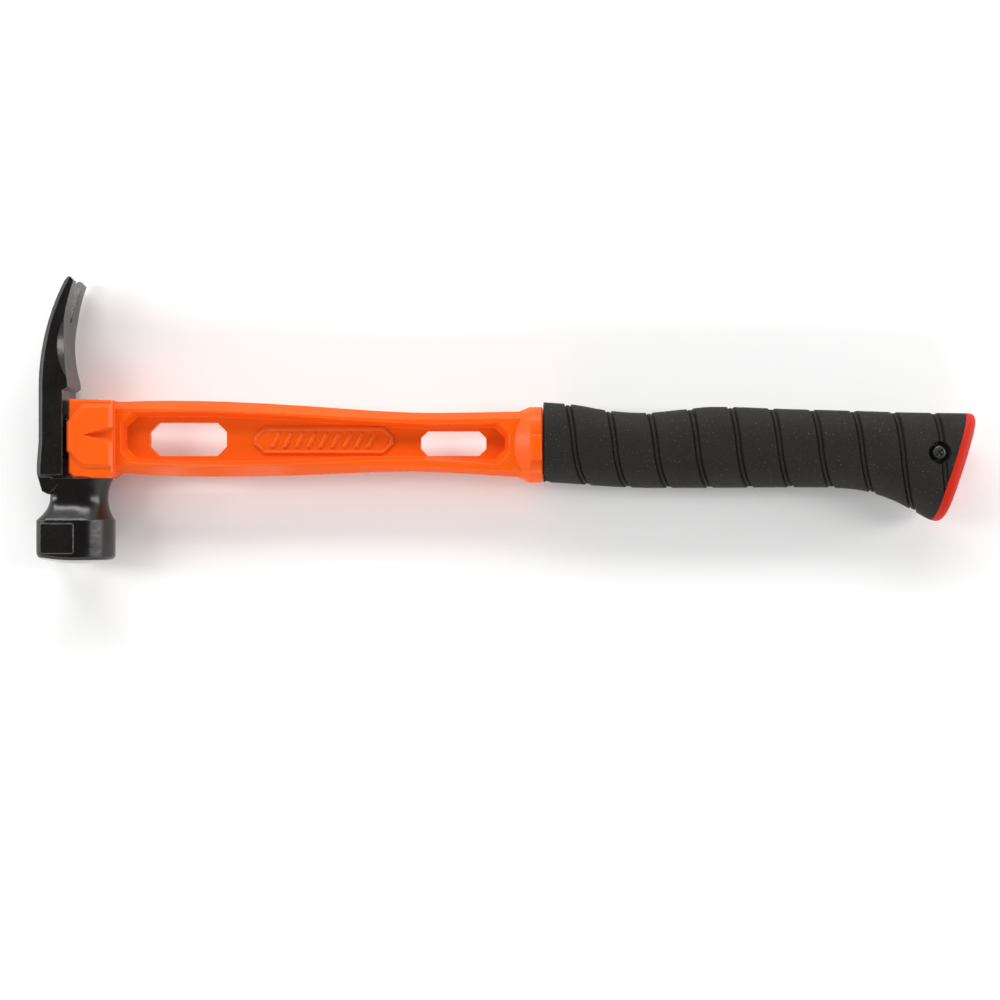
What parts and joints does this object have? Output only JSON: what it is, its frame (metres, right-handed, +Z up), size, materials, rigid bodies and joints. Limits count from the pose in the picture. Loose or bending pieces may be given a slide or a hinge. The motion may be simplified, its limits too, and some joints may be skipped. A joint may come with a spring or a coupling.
{
  "type": "claw hammer",
  "caption": "Framing claw hammer lying on its side: black forged head with straight claws, orange pocketed handle with cut-through windows, and a flared black rubber grip with a red butt cap.",
  "frame": {"origin": "middle of the bounding box's underside, on the surface that the hammer lies on", "axes": "+X along the handle from the head to the butt, +Y towards the claws (the striking face points to -Y), +Z up through the hammer's thickness"},
  "size_m": [0.4064, 0.1237, 0.0325],
  "materials": {
    "black_oxide_steel": "black oxide on forged steel with a satin gloss, brushed bare on the striking face",
    "magnet_nickel": "nickel-plated magnet",
    "orange_powder_coat": "glossy orange powder coat on cast titanium, with a fine orange-peel texture",
    "screw_black": "black zinc-plated steel fasteners, satin",
    "core_plastic": "moulded black nylon, seen only in the counterbores round the screw",
    "grip_rubber": "matte black moulded rubber with a fine grain",
    "cap_plastic": "red moulded plastic, semi-matte"
  },
  "bodies": {
    "root": {"head": "black_oxide_steel", "nail_magnet": "magnet_nickel", "handle": "orange_powder_coat", "head_lock_screw": "screw_black", "grip_core": "core_plastic", "grip_overlay": "grip_rubber", "end_cap": "cap_plastic", "grip_screw": "screw_black", "grip_nut": "screw_black"}
  },
  "joints": []
}
